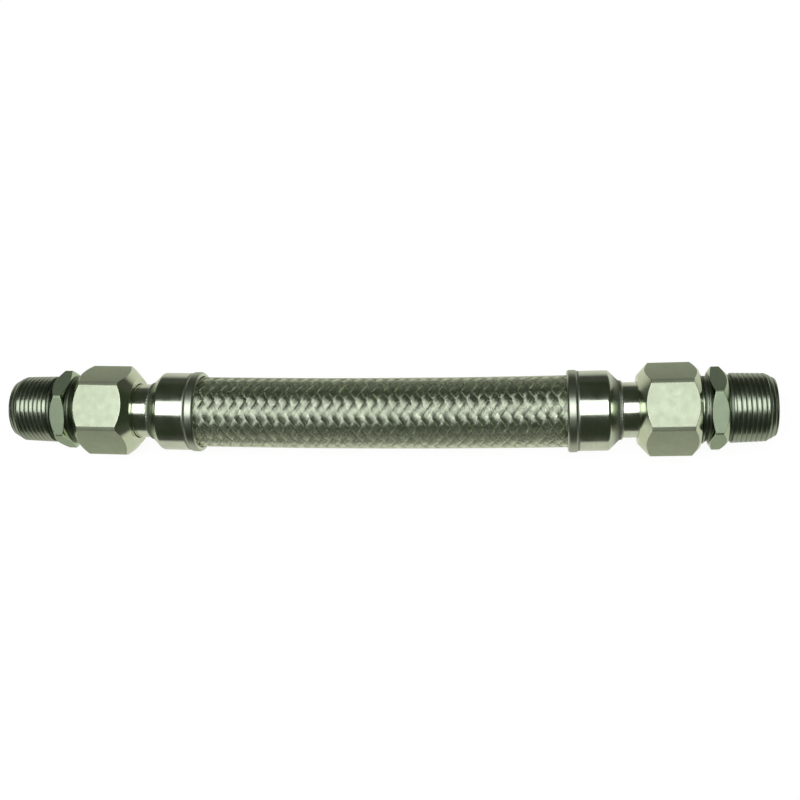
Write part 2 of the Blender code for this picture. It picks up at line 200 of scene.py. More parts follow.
class AdapterSettings(bpy.types.PropertyGroup):
    """Sizes and finish of the male adapters."""

    bore: length("Bore", "Radius of the way through", 0.0080)
    nose_radius: length("Nose radius", "Blunt end of the cone", 0.0090)
    nose_top: length("Nose top", "Large end of the cone", 0.0122)
    nose_collar: length("Nose collar", "Plain length behind the cone", 0.0015)
    union_radius: length("Union thread radius", "Crests of the union thread", 0.0135)
    union_pitch: length("Union thread pitch", "Twelve threads to the inch", 0.0254 / 12)
    union_depth: length("Union thread depth", "Depth of the union thread", 0.0011)
    union_crest: share("Union thread crest", "Flat crest as a share of the pitch", 0.36)
    neck: length("Neck", "Between nut and hexagon", 0.0036)
    relief_radius: length("Relief radius", "Groove behind the thread", 0.0123)
    relief_length: length("Relief length", "Width of that groove", 0.0020)
    hex_thickness: length("Hexagon thickness", "Along the axis", 0.0071)
    across_flats: length("Across flats", "Width between two flats", 0.0280)
    corner_radius: length("Corner radius", "Radius of the turned blank", 0.01595)
    face_radius: length("Face radius", "Radius of the face beside the nut", 0.0139)
    chamfer: angle("Hexagon chamfer", "Slope of the chamfer from that face", 30.0)
    front_radius: length("Front face radius", "Radius of the face beside the pipe end", 0.0130)
    left_turn: angle("Left hexagon turn", "Turn of a flat from the end's own X", 43.0)
    right_turn: angle("Right hexagon turn", "Turn of a flat from the end's own X", 13.0)
    pipe_length: length("Pipe end length", "From hexagon to tip", 0.0175)
    pipe_radius: length("Pipe thread radius", "Large end of the pipe thread", 0.01334)
    pipe_taper: share("Pipe taper", "Fall of the radius along the axis", 1.0 / 32.0)
    pipe_pitch: length("Pipe thread pitch", "Fourteen threads to the inch", 0.0254 / 14)
    pipe_depth: length("Pipe thread depth", "Depth of the truncated thread", 0.00015)
    pipe_crest: share("Pipe thread crest", "Flat crest as a share of the pitch", 0.50)
    runout_length: length("Runout length", "Plain neck beside the hexagon", 0.0019)
    runout_radius: length("Runout radius", "Radius of that neck", 0.0125)
    tip_radius: length("Tip radius", "Radius of the tip's face", 0.0110)
    tip_chamfer: length("Tip chamfer", "Length of the chamfer at the tip", 0.0036)
    bore_chamfer: length("Bore chamfer", "Chamfer of the bore at the tip", 0.0006)
    edge: length("Edge rounding", "Radius of the broken edges", 0.0002)
    colour: colour("Thread colour", "Dark turned steel", (0.33, 0.38, 0.29))
    roughness: share("Thread roughness", "Gloss of the turned faces", 0.22)
    hex_colour: colour("Hexagon colour", "Satin milled steel", (0.48, 0.58, 0.42))
    hex_roughness: share("Hexagon roughness", "Gloss of the hexagon", 0.58)


class StageSettings(bpy.types.PropertyGroup):
    """Camera, lamp, tent and floor."""

    camera_place: place("Camera place", "Where the camera stands", (0.0652, -0.0472, 0.4680))
    camera_aim: place("Camera aim", "Point in the image's middle", (0.0072, 0.0038, 0.0160))
    camera_roll: angle("Camera roll", "Turn about the line of sight", 0.66)
    focal_length: FloatProperty(name="Focal length", description="In millimetres", default=52.3,
                                min=10.0, max=200.0)
    lamp_power: FloatProperty(name="Lamp power", description="Power of the overhead lamp",
                              default=9.4, min=0.0, unit="POWER")
    lamp_length: length("Lamp length", "Along the connector", 1.3)
    lamp_width: length("Lamp width", "Across the connector", 0.76)
    lamp_shift: length("Lamp shift", "From the connector's middle to the left", 0.15)
    lamp_height: length("Lamp height", "Over the floor", 1.1)
    lamp_offset: length("Lamp offset", "Behind the connector", 0.06)
    tent_radius: length("Tent radius", "Of the dome round the scene", 3.0)
    tent_skirt: length("Tent skirt", "How far the dome goes on below the floor", 0.15)
    tent_low: share("Tent low light", "Strength of the dome near the floor", 0.08, 4.0)
    tent_high: share("Tent high light", "Strength of the dome overhead", 0.05, 4.0)
    tent_from: angle("Tent fades from", "Height over the horizon", 2.0)
    tent_to: angle("Tent fades to", "Height over the horizon", 10.0)
    tent_colour: colour("Tent colour", "Tint of the dome's light", (0.82, 1.0, 0.66))
    floor_reach: length("Floor reach", "From the middle of the floor to its edges", 3.6)
    floor_colour: colour("Floor colour", "Pale paper", (0.14, 0.14, 0.14))
    floor_seen: share("Floor seen", "Light added to the floor that the camera sees", 0.93, 4.0)
    floor_reflected: share("Floor reflected", "Light of the floor in reflections", 0.72, 4.0)
    card_colour: colour("Card colour", "Tint of the floor in reflections", (1.0, 1.0, 0.88))
    card_shift: length("Card shift", "The floor's bright card, towards the camera's foot", 0.02)
    card_near: length("Card near", "The card is full as far as this from its middle", 0.05)
    card_far: length("Card far", "The card ends here", 0.11)


class ConnectorSettings(bpy.types.PropertyGroup):
    """All the sizes and colours of the connector and its stage."""

    braid: PointerProperty(type=BraidSettings, name="Braid", description="Woven wire sleeve")
    bellows: PointerProperty(type=BellowsSettings, name="Bellows", description="Corrugated hose")
    end: PointerProperty(type=EndSettings, name="Ends", description="Collars and tube tails")
    nut: PointerProperty(type=NutSettings, name="Nuts", description="Union nuts")
    adapter: PointerProperty(type=AdapterSettings, name="Adapters", description="Male adapters")
    stage: PointerProperty(type=StageSettings, name="Stage", description="Camera and light")


def settings():
    return bpy.context.scene.hose_connector


# Places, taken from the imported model


def points_of(mesh):
    """All the vertices of a mesh as an array."""
    points = np.zeros(len(mesh.vertices) * 3)
    mesh.vertices.foreach_get("co", points)
    return points.reshape(-1, 3)


def thread_end(side):
    """Tip and outward direction of one end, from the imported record."""
    for mount in frame["record"]["mounts"]:
        if mount["name"] == "thread_end_" + side:
            x, y, _ = mount["pos_m"]
            low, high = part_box("union_nut_" + side)
            return np.array((x, y, (low.z + high.z) / 2)), np.array(mount["axis"])
    raise RuntimeError("the packed record has no mount for the " + side + " end")


def end_matrix(side):
    """Matrix of an end's own frame: Z outwards, Y level, origin at the collar's inner edge."""
    tip, outward = thread_end(side)
    collar = points_of(frame["nodes"]["collar_" + side].data)
    inner_edge = ((collar - tip) @ outward).min()
    origin = Vector(tip + outward * inner_edge)
    z_axis = Vector(outward).normalized()
    y_axis = Vector((0.0, 0.0, 1.0)).cross(z_axis).normalized()
    if y_axis.y < 0.0:
        y_axis = -y_axis
    x_axis = y_axis.cross(z_axis)
    turn = Matrix((x_axis, y_axis, z_axis)).transposed().to_4x4()
    return Matrix.Translation(origin) @ turn


def hose_run():
    """Half length of the showing braid, the bow's curvature and the middle of its centre line."""
    left, right = end_matrix("left"), end_matrix("right")
    lean = right.col[2].y
    bow = 2 * math.asin(lean)
    chord = (right.translation - left.translation).length
    run = chord * (bow / 2) / math.sin(bow / 2)
    curvature = bow / run
    rise = (1 - math.cos(bow / 2)) / curvature
    middle = (left.translation + right.translation) / 2 - Vector((0.0, rise, 0.0))
    return run / 2, curvature, middle


def bend_on_run(mesh):
    """Carry a mesh made straight along Z on to the hose's bowed centre line."""
    half, curvature, middle = hose_run()
    across, side, along = points_of(mesh).T
    held = np.clip(along, -half, half)
    turn = curvature * held
    x = np.sin(turn) / curvature + np.cos(turn) * (along - held) - np.sin(turn) * side
    y = (1 - np.cos(turn)) / curvature + np.sin(turn) * (along - held) + np.cos(turn) * side
    placed = np.stack((x + middle.x, y + middle.y, middle.z - across), axis=1)
    mesh.vertices.foreach_set("co", placed.ravel())
    mesh.update()


# Outlines and turned meshes


def corner_arc(here, first, last, shine_and_shade, steps):
    """Rows of the arc that rounds a corner; a bright edge is brightest in its middle, as a painted
    highlight.
    """
    rows = []
    for step in range(steps + 1):
        part = step / steps
        point = (1 - part) ** 2 * first + 2 * part * (1 - part) * here + part ** 2 * last
        brightness = (4 * part * (1 - part)) ** 0.5
        rows.append((*point, shine_and_shade if shine_and_shade < 0.0 else shine_and_shade * brightness))
    return rows


def rounded(outline, steps=ARC_STEPS):
    """Round the corners of a closed outline of (station, radius, rounding, wear) points.

    Each corner becomes an arc between two points that hold the flat faces flat. Every corner
    gives the same number of points. Returns (station, radius, wear) rows.
    """
    rows = []
    for index, (station, radius, rounding, shine_and_shade) in enumerate(outline):
        here = np.array((station, radius))
        before = np.array(outline[index - 1][:2]) - here
        after = np.array(outline[(index + 1) % len(outline)][:2]) - here
        long_before, long_after = np.linalg.norm(before), np.linalg.norm(after)
        shortest = min(long_before, long_after)
        if shortest < NO_SIDE:
            rows += [(station, radius, shine_and_shade)] * (steps + 3)
            continue
        before, after = before / long_before, after / long_after
        opening = math.acos(max(-1.0, min(1.0, float(before @ after))))
        reach = rounding / math.tan(opening / 2) if opening > FOLDED else 0.0
        reach = min(reach, 0.40 * shortest)
        keep = min(FLAT_HOLD, 0.05 * shortest)
        first, last = here + before * reach, here + after * reach
        # A corner's hold rows keep its painted shade but not its bright edge
        painted_shade = min(shine_and_shade, 0.0)
        rows.append((*(first + before * keep), painted_shade))
        rows += corner_arc(here, first, last, shine_and_shade, steps)
        rows.append((*(last + after * keep), painted_shade))
    return rows


def turned_mesh(angles, columns, smooth_below=40.0):
    """Closed ring of quads from one closed outline for each angle round the axis.

    Columns hold (station, radius, mark) rows, a mark being an edge's shine or a corner's painted
    shade. The mesh keeps the marks in an attribute and gets a UV map of metres along the axis and
    metres round it.
    """
    table = np.array(columns)
    around, profile = table.shape[:2]
    stations, radii, shine_and_shade = table[:, :, 0], table[:, :, 1], table[:, :, 2]
    turn = np.array(angles)[:, None]
    points = np.stack((radii * np.cos(turn), radii * np.sin(turn), stations), axis=2)
    ring, row = np.meshgrid(np.arange(around), np.arange(profile), indexing="ij")
    next_ring, next_row = (ring + 1) % around, (row + 1) % profile
    corners = np.stack((ring * profile + row, next_ring * profile + row,
                        next_ring * profile + next_row, ring * profile + next_row), axis=2)
    mesh = bpy.data.meshes.new("turned")
    mesh.from_pydata(points.reshape(-1, 3).tolist(), [], corners.reshape(-1, 4).tolist())
    mesh.attributes.new("shine_and_shade", "FLOAT", "POINT").data.foreach_set("value", shine_and_shade.ravel())

    step = np.hypot(np.roll(stations, -1, axis=1) - stations,
                    np.roll(radii, -1, axis=1) - radii).mean(axis=0)
    near = np.broadcast_to(step.cumsum() - step, stations.shape)
    far = near + step
    outside = float(radii.max())
    here = np.broadcast_to(turn * outside, stations.shape)
    over_seam = np.where(ring == around - 1, math.tau * outside, 0.0)
    there = np.roll(here, -1, axis=0) + over_seam
    uv = np.stack((near, here, near, there, far, there, far, here), axis=2)
    mesh.uv_layers.new(name="turned").uv.foreach_set("vector", uv.ravel())
    mesh.polygons.foreach_set("use_smooth", [True] * len(mesh.polygons))
    face_outwards(mesh)
    mesh.set_sharp_from_angle(angle=math.radians(smooth_below))
    return mesh


def face_outwards(mesh):
    build = bmesh.new()
    build.from_mesh(mesh)
    bmesh.ops.recalc_face_normals(build, faces=build.faces)
    build.to_mesh(mesh)
    build.free()
    mesh.update()


def round_angles(number):
    return [step * math.tau / number for step in range(number)]


def from_flat(around, turn):
    """Angle from the middle of the nearest flat."""
    return (around - turn + SIXTH / 2) % SIXTH - SIXTH / 2


def hexagon_angles(turn, size):
    """Angles round a hexagon, close together where each corner's rounded land begins and ends."""
    land = SIXTH / 2 - math.acos(size.across_flats / 2 / size.corner_radius)
    flat_from, flat_rows = land + math.radians(3.5), 5
    offsets = [0.0, land * 0.6]
    offsets += [land + math.radians(shift) for shift in (-0.5, -0.15, 0.15, 0.5, 1.1)]
    offsets += list(np.linspace(flat_from, SIXTH / 2, flat_rows))
    angles = []
    for corner in range(6):
        middle = turn + SIXTH / 2 + corner * SIXTH
        angles += [middle + offset for offset in offsets]
        angles += [middle - offset for offset in offsets[1:-1]]
    return sorted(angles)


def hexagon_radius(angle_from_flat, size):
    """Outside of a milled hexagon on a turned blank, its edges a little broken."""
    flat = size.across_flats / 2 / math.cos(angle_from_flat)
    softness = size.edge * 0.12
    low = min(flat, size.corner_radius)
    blend = math.exp(-(flat - low) / softness) + math.exp(-(size.corner_radius - low) / softness)
    return low - softness * math.log(blend)


# Nodes of materials and of the weave


class Value:
    """A number or colour that nodes work out; arithmetic on it adds nodes to its tree."""

    def __init__(self, board, socket):
        self.board = board
        self.socket = socket

    def __add__(self, other):
        return self.board.maths("ADD", self, other)

    def __sub__(self, other):
        return self.board.maths("SUBTRACT", self, other)

    def __rsub__(self, other):
        return self.board.maths("SUBTRACT", other, self)

    def __mul__(self, other):
        return self.board.maths("MULTIPLY", self, other)

    def __truediv__(self, other):
        return self.board.maths("DIVIDE", self, other)

    def __rtruediv__(self, other):
        return self.board.maths("DIVIDE", other, self)

    def __abs__(self):
        return self.board.maths("ABSOLUTE", self)

    def ranged(self, low, high, new_low, new_high, interpolation="LINEAR"):
        """Value carried from one range to another and held inside it."""
        inputs = {"Value": self, "From Min": low, "From Max": high, "To Min": new_low,
                  "To Max": new_high}
        return self.board.value("ShaderNodeMapRange", "Result", inputs,
                                interpolation_type=interpolation)


class NodeBoard:
    """Small helper that adds linked nodes to a tree."""

    def __init__(self, tree):
        self.tree = tree

    def feed(self, socket, source):
        """Link a value or socket to an input, or give it a plain number, colour or vector."""
        if isinstance(source, Value):
            source = source.socket
        if isinstance(source, bpy.types.NodeSocket):
            self.tree.links.new(source, socket)
        else:
            socket.default_value = source

    def add(self, kind, inputs=None, **options):
        node = self.tree.nodes.new(kind)
        for key, option in options.items():
            setattr(node, key, option)
        for key, source in (inputs or {}).items():
            self.feed(node.inputs[key], source)
        return node

    def value(self, kind, output, inputs=None, **options):
        """One output of a new node, ready for arithmetic."""
        return Value(self, self.add(kind, inputs, **options).outputs[output])

    def maths(self, operation, *sources):
        return self.value("ShaderNodeMath", "Value", dict(enumerate(sources)),
                          operation=operation)


# Materials


class MetalBoard(NodeBoard):
    """Nodes of a new metal material, with its places on the object and on its UV map."""

    def __init__(self, name):
        self.material = bpy.data.materials.new(name)
        self.material.use_nodes = True
        super().__init__(self.material.node_tree)
        self.shader = self.tree.nodes["Principled BSDF"]
        self.shader.inputs["Metallic"].default_value = 1.0
        coordinates = self.add("ShaderNodeTexCoord").outputs
        self.on_object = coordinates["Object"]
        self.on_map = coordinates["UV"]
        self.facing = coordinates["Normal"]

    def attribute(self, name):
        return self.value("ShaderNodeAttribute", "Fac", attribute_name=name)

    def noise(self, where, grains, detail=3.0, roughness=0.55):
        """Noise with so many grains to a metre: one number, or one for each axis."""
        scale = grains if isinstance(grains, tuple) else (grains, grains, grains)
        mapping = self.add("ShaderNodeMapping", {"Vector": where, "Scale": scale})
        return self.value("ShaderNodeTexNoise", "Fac",
                          {"Vector": mapping.outputs["Vector"], "Scale": 1.0, "Detail": detail,
                           "Roughness": roughness})

    def mixed(self, portion, first, second):
        """Colour between two colours."""
        return self.value("ShaderNodeMix", 2, {0: portion, 6: first, 7: second},
                          data_type="RGBA")

    def finished(self, tone, gloss, *bumps):
        """The material, given its colour, roughness and (height, distance, strength) bumps."""
        normal = None
        for height, distance, strength in bumps:
            inputs = {"Height": height, "Distance": distance, "Strength": strength}
            if normal is not None:
                inputs["Normal"] = normal
            normal = self.value("ShaderNodeBump", "Normal", inputs)
        self.feed(self.shader.inputs["Base Color"], tone)
        self.feed(self.shader.inputs["Roughness"], gloss)
        self.feed(self.shader.inputs["Normal"], normal)
        return self.material


def shade(base, factor):
    """Colour made lighter or darker, with its alpha."""
    return tuple(min(1.0, channel * factor) for channel in base) + (1.0,)


def turned_steel(name, base, roughness, lines=0.5, painted_shade=0.6):
    """Steel that was turned or polished on a lathe: fine lines round it, soft uneven gloss, bright
    edges of worn shine and painted highlight, and painted shade in corners and grooves.
    """
    steel = MetalBoard(name)
    rings = steel.noise(steel.on_map, (9000.0, 60.0, 1.0), 2.0)
    coarse_rings = steel.noise(steel.on_map, (1500.0, 25.0, 1.0))
    patches = steel.noise(steel.on_object, 160.0, 4.0)
    shine_and_shade = steel.attribute("shine_and_shade")
    tone = steel.mixed(patches.ranged(0.35, 0.68, 0.0, 1.0), shade(base, 0.86), shade(base, 1.06))
    tone = steel.mixed(coarse_rings.ranged(0.3, 0.7, 0.0, 0.25), tone, shade(base, 0.72))
    # Bright broken edges: worn shine with a painted highlight
    tone = steel.mixed(shine_and_shade.ranged(0.0, 1.0, 0.0, 0.6), tone, shade(base, 1.22))
    # Painted shade: corners, grooves and thread roots are darkened
    tone = steel.mixed(shine_and_shade.ranged(-1.0, 0.0, painted_shade, 0.0), tone, shade(base, 0.30))
    gloss = patches.ranged(0.3, 0.7, roughness * 0.8, roughness * 1.25)
    gloss = gloss + coarse_rings.ranged(0.3, 0.7, 0.0, 0.05 * lines)
    gloss = gloss + shine_and_shade.ranged(-1.0, 0.0, painted_shade * 0.5, 0.0)
    return steel.finished(tone, gloss, (rings, 0.000004, 0.35 * lines),
                          (coarse_rings, 0.00001, 0.25 * lines))


def milled_steel(name, base, roughness):
    """Satin steel with cutter marks over its flats, stains and bright broken edges, worn shine
    with a painted highlight.

    Faces that look along the connector were turned, and are glossier than the milled flats.
    """
    steel = MetalBoard(name)
    marks = steel.noise(steel.on_object, 2600.0, 2.0)
    strokes = steel.noise(steel.on_map, (3200.0, 110.0, 1.0))
    stains = steel.noise(steel.on_object, (120.0, 150.0, 120.0), 5.0, 0.6)
    clouds = steel.noise(steel.on_object, 420.0, 4.0)
    shine_and_shade = steel.attribute("shine_and_shade")
    endways = steel.value("ShaderNodeSeparateXYZ", "X", {"Vector": steel.facing})
    turned = abs(endways).ranged(0.25, 0.45, 0.0, 1.0)
    dull = tuple(channel * fall for channel, fall in zip(base, (0.78, 0.80, 0.70))) + (1.0,)
    tone = steel.mixed(stains.ranged(0.32, 0.7, 0.0, 1.0), shade(base, 0.95), shade(base, 1.03))
    tone = steel.mixed(clouds.ranged(0.3, 0.75, 0.0, 0.10), tone, dull)
    tone = steel.mixed(strokes.ranged(0.35, 0.65, 0.0, 0.16), tone, shade(base, 0.70))
    # Bright broken edges: worn shine with a painted highlight
    tone = steel.mixed(shine_and_shade.ranged(0.0, 1.0, 0.0, 0.8), tone, shade(base, 1.18))
    gloss = clouds.ranged(0.3, 0.7, roughness * 0.94, roughness * 1.06)
    gloss = gloss - shine_and_shade.ranged(0.0, 1.0, 0.0, 0.14) - turned * (roughness * 0.8)
    return steel.finished(tone, gloss, (strokes, 0.000012, 0.35), (marks, 0.000006, 0.25))


def drawn_wire(name, base, roughness):
    """Bright wire, each wire a little lighter or darker than the next."""
    steel = MetalBoard(name)
    patches = steel.noise(steel.on_object, 90.0)
    specks = steel.noise(steel.on_object, 1800.0, 2.0)
    tone = steel.mixed(steel.attribute("wire_tone"), shade(base, 0.80), shade(base, 1.12))
    tone = steel.mixed(patches.ranged(0.35, 0.7, 0.0, 0.3), tone, shade(base, 0.72))
    gloss = specks.ranged(0.3, 0.7, roughness * 0.8, roughness * 1.3)
    return steel.finished(tone, gloss, (specks, 0.000005, 0.3))


def rolled_sheet(name, base, roughness):
    """Thin rolled sheet, dull and patchy."""
    steel = MetalBoard(name)
    patches = steel.noise(steel.on_object, 200.0, 4.0)
    grain = steel.noise(steel.on_object, (300.0, 5000.0, 5000.0), 2.0)
    tone = steel.mixed(patches.ranged(0.3, 0.7, 0.0, 1.0), shade(base, 0.80), shade(base, 1.05))
    gloss = patches.ranged(0.3, 0.7, roughness * 0.8, roughness * 1.2)
    return steel.finished(tone, gloss, (grain, 0.000006, 0.3))


# Making and placing a piece


def in_scene(name, data):
    """New object in the scene's own collection."""
    made = bpy.data.objects.new(name, data)
    bpy.context.scene.collection.objects.link(made)
    return made


def joined(first, second):
    """One mesh of two, in which the second's faces take the piece's second material."""
    build = bmesh.new()
    build.from_mesh(first)
    known = len(build.faces)
    build.from_mesh(second)
    build.faces.ensure_lookup_table()
    for face in build.faces[known:]:
        face.material_index = 1
    build.to_mesh(first)
    build.free()
    bpy.data.meshes.remove(second)
    return first


def place_piece(name, mesh, node, slot, *materials):
    """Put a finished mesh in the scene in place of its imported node."""
    mesh.name = name
    piece = in_scene(name, mesh)
    # Clearing the materials also resets which of them each face takes
    kept = [face.material_index for face in mesh.polygons]
    mesh.materials.clear()
    for material in materials:
        mesh.materials.append(material)
    mesh.polygons.foreach_set("material_index", kept)
    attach(piece, BODY)
    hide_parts(node)


def place_end_piece(name, mesh, node, side, slot, *materials):
    """Carry a mesh from its end's own frame to its place and put it in the scene."""
    mesh.transform(end_matrix(side))
    place_piece(name + "_" + side, mesh, node + "_" + side, slot, *materials)


# Wire braid by geometry nodes


BRAID_INPUTS = {
    "Strands": "Int", "Wires": "Int", "Crossings": "Int", "Sides": "Int", "Seed": "Int",
    "Wire radius": "Float", "Wire step": "Float", "Column step": "Float",
    "Middle radius": "Float", "Lift": "Float", "Direction": "Float", "Crown width": "Float",
    "Crown shoulder": "Float", "Material": "Material",
}


def numbered_wires(board, given):
    """All the wires of one direction as lines that know their number and their tone."""
    line = board.add("GeometryNodeCurvePrimitiveLine", {"End": (0.0, 0.0, 1.0)})
    wire = board.add("GeometryNodeResampleCurve",
                     {"Curve": line.outputs["Curve"],
                      "Count": given["Crossings"] * CROSSING_POINTS})
    cloud = board.add("GeometryNodePoints", {"Count": given["Strands"] * given["Wires"]})
    copies = board.add("GeometryNodeInstanceOnPoints",
                       {"Points": cloud.outputs["Geometry"], "Instance": wire.outputs["Curve"]})
    number = board.value("GeometryNodeInputIndex", "Index")
    tone = board.value("FunctionNodeRandomValue", 1, {"Seed": given["Seed"], "ID": number},
                       data_type="FLOAT")
    stored = copies.outputs["Instances"]
    for attribute, source in (("wire_number", number), ("wire_tone", tone)):
        keep = board.add("GeometryNodeStoreNamedAttribute",
                         {"Geometry": stored, "Name": attribute, "Value": source},
                         data_type="FLOAT", domain="INSTANCE")
        stored = keep.outputs["Geometry"]
    return board.add("GeometryNodeRealizeInstances", {"Geometry": stored}).outputs["Geometry"]


def woven_place(board, given):
    """Where a wire's point lies, from the wire's number and the point's number on the wire.

    Crossings stand in columns along the hose. A wire's number gives its strand and its place
    across the strand, and a point's number gives its column and its place on the crossing.
    The halves and the quarter added to whole numbers keep them clear of a step.
    """
    wire_number = board.value("GeometryNodeInputNamedAttribute", "Attribute",
                              {"Name": "wire_number"}, data_type="FLOAT")
    strand = board.maths("FLOOR", (wire_number + 0.5) / given["Wires"])
    in_strand = wire_number - strand * given["Wires"]
    shift = (in_strand - (given["Wires"] - 1.0) * 0.5) * given["Wire step"]

    point = board.value("GeometryNodeSplineParameter", "Index")
    column = board.maths("FLOOR", (point + 0.5) / CROSSING_POINTS)
    part = point - column * CROSSING_POINTS - 1.0
    along = column + (part * given["Crown width"] + shift * 0.5)
    steps_round = along - strand * 2.0 - shift
    turn = steps_round * (math.pi / given["Strands"]) * given["Direction"]

    odd_column = board.maths("GREATER_THAN", board.maths("MODULO", column + 0.25, 2.0), 1.0)
    up_or_down = 1.0 - odd_column * 2.0
    crown = 1.0 - abs(part) * (1.0 - given["Crown shoulder"])
    radius = given["Middle radius"] + up_or_down * crown * given["Lift"] * given["Direction"]

    middle = (given["Crossings"] - 1.0) * 0.5
    return board.value("ShaderNodeCombineXYZ", "Vector", {
        "X": radius * board.maths("COSINE", turn),
        "Y": radius * board.maths("SINE", turn),
        "Z": (along - middle) * given["Column step"],
    })


def braid_tree():
    """Tree that lays the wires of one direction over and under those of the other."""
    tree = bpy.data.node_groups.new("wire_braid_one_way", "GeometryNodeTree")
    board = NodeBoard(tree)
    tree.interface.new_socket("Geometry", in_out="OUTPUT", socket_type="NodeSocketGeometry")
    identifiers = {}
    for name, kind in BRAID_INPUTS.items():
        socket = tree.interface.new_socket(name, in_out="INPUT", socket_type="NodeSocket" + kind)
        identifiers[name] = socket.identifier
    entry = board.add("NodeGroupInput").outputs
    given = {name: Value(board, entry[name]) for name in BRAID_INPUTS}

    laid = board.add("GeometryNodeSetPosition", {"Geometry": numbered_wires(board, given),
                                                 "Position": woven_place(board, given)})
    upright = board.add("GeometryNodeSetCurveNormal", {"Curve": laid.outputs["Geometry"]},
                        mode="Z_UP")
    outline = board.add("GeometryNodeCurvePrimitiveCircle", {"Resolution": given["Sides"],
                                                             "Radius": given["Wire radius"]})
    flat_up = board.add("GeometryNodeTransform", {"Geometry": outline.outputs["Curve"],
                                                  "Rotation": (0.0, 0.0, math.radians(45.0))})
    solid = board.add("GeometryNodeCurveToMesh", {"Curve": upright.outputs["Curve"],
                                                  "Profile Curve": flat_up.outputs["Geometry"],
                                                  "Fill Caps": True})
    smooth = board.add("GeometryNodeSetShadeSmooth", {"Geometry": solid.outputs["Mesh"]})
    real = board.add("GeometryNodeRealizeInstances", {"Geometry": smooth.outputs["Geometry"]})
    finished = board.add("GeometryNodeSetMaterial", {"Geometry": real.outputs["Geometry"],
                                                     "Material": given["Material"]})
    board.add("NodeGroupOutput", {"Geometry": finished.outputs["Geometry"]})
    return tree, identifiers


def braid_wires(direction, seed, tree, identifiers, material):
    """Wires of one direction as a plain mesh, made straight along Z."""
    size = settings().braid
    row_angle = math.pi / size.strands
    slope = math.atan2(size.middle_radius * row_angle, size.crossing_step)
    strand_spacing = 2 * size.middle_radius * row_angle * math.cos(slope)
    work = in_scene("braid_work", bpy.data.meshes.new("braid_work"))
    weave = work.modifiers.new("Weave", "NODES")
    weave.node_group = tree
    for name, setting in {
            "Strands": size.strands,
            "Wires": size.wires,
            "Crossings": size.crossings,
            "Sides": size.wire_sides,
            "Seed": seed,
            "Wire radius": size.wire_diameter / 2,
            "Wire step": 2 * size.wire_spacing / strand_spacing,
            "Column step": size.crossing_step,
            "Middle radius": size.middle_radius,
            "Lift": size.crossing_lift,
            "Direction": direction,
            "Crown width": size.crown_width,
            "Crown shoulder": size.crown_shoulder,
            "Material": material}.items():
        weave[identifiers[name]] = setting
    return made_plain(work)


def made_plain(work):
    """Plain mesh of what an object's modifiers give; the object itself is taken away."""
    bpy.context.view_layer.update()
    depsgraph = bpy.context.evaluated_depsgraph_get()
    mesh = bpy.data.meshes.new_from_object(work.evaluated_get(depsgraph))
    work.modifiers.clear()
    bpy.data.objects.remove(work, do_unlink=True)
    return mesh


class HOSE_OT_build_braid(bpy.types.Operator):
    """Weave the sleeve of steel wires over the hose"""

    bl_idname = "hose_connector.build_braid"
    bl_label = "Build Wire Braid"

    def execute(self, context):
        size = settings().braid
        finish = drawn_wire("braid_wire_steel", size.colour, size.roughness)
        tree, identifiers = braid_tree()
        for hand, direction, seed in (("right", 1.0, 3), ("left", -1.0, 8)):
            mesh = braid_wires(direction, seed, tree, identifiers, finish)
            if not mesh.polygons:
                raise RuntimeError("the wire braid came out empty")
            bend_on_run(mesh)
            name = "braid_wires_" + hand + "_hand"
            place_piece(name, mesh, "wire_braid", "braid_steel", finish)
        return {"FINISHED"}


# Corrugated hose


def wave_line(half, waves, size):
    """Outside of the hose from one end to the other: round crests and round roots."""
    body = half - size.cuff
    middle = (size.crest_radius + size.root_radius) / 2
    swing = (size.crest_radius - size.root_radius) / 2
    samples_in_wave = 12
    samples = waves * samples_in_wave
    line = [(-half, size.root_radius)]
    for sample in range(samples + 1):
        station = -body + 2 * body * sample / samples
        wave = -math.cos(sample / samples_in_wave * math.tau)
        fullness = wave * (1.35 - 0.35 * wave * wave)
        line.append((station, middle + swing * fullness))
    line.append((half, size.root_radius))
    return line


class HOSE_OT_build_bellows(bpy.types.Operator):
    """Roll the corrugated hose that lies inside the braid"""

    bl_idname = "hose_connector.build_bellows"
    bl_label = "Build Corrugated Hose"

    def execute(self, context):
        size, end = settings().bellows, settings().end
        half = hose_run()[0] + end.collar_length - end.tail_grip - end.gap
        waves = max(1, round(2 * (half - size.cuff) / size.pitch))
        outside = wave_line(half, waves, size)
        inside = [(station, radius - size.wall) for station, radius in reversed(outside)]
        outline = [(station, radius, 0.0) for station, radius in outside + inside]
        angles = round_angles(48)
        mesh = turned_mesh(angles, [outline] * len(angles))
        bend_on_run(mesh)
        finish = rolled_sheet("hose_sheet_steel", size.colour, size.roughness)
        place_piece("corrugated_hose_sheet", mesh, "corrugated_hose", "hose_steel", finish)
        return {"FINISHED"}


# Collars and tube tails


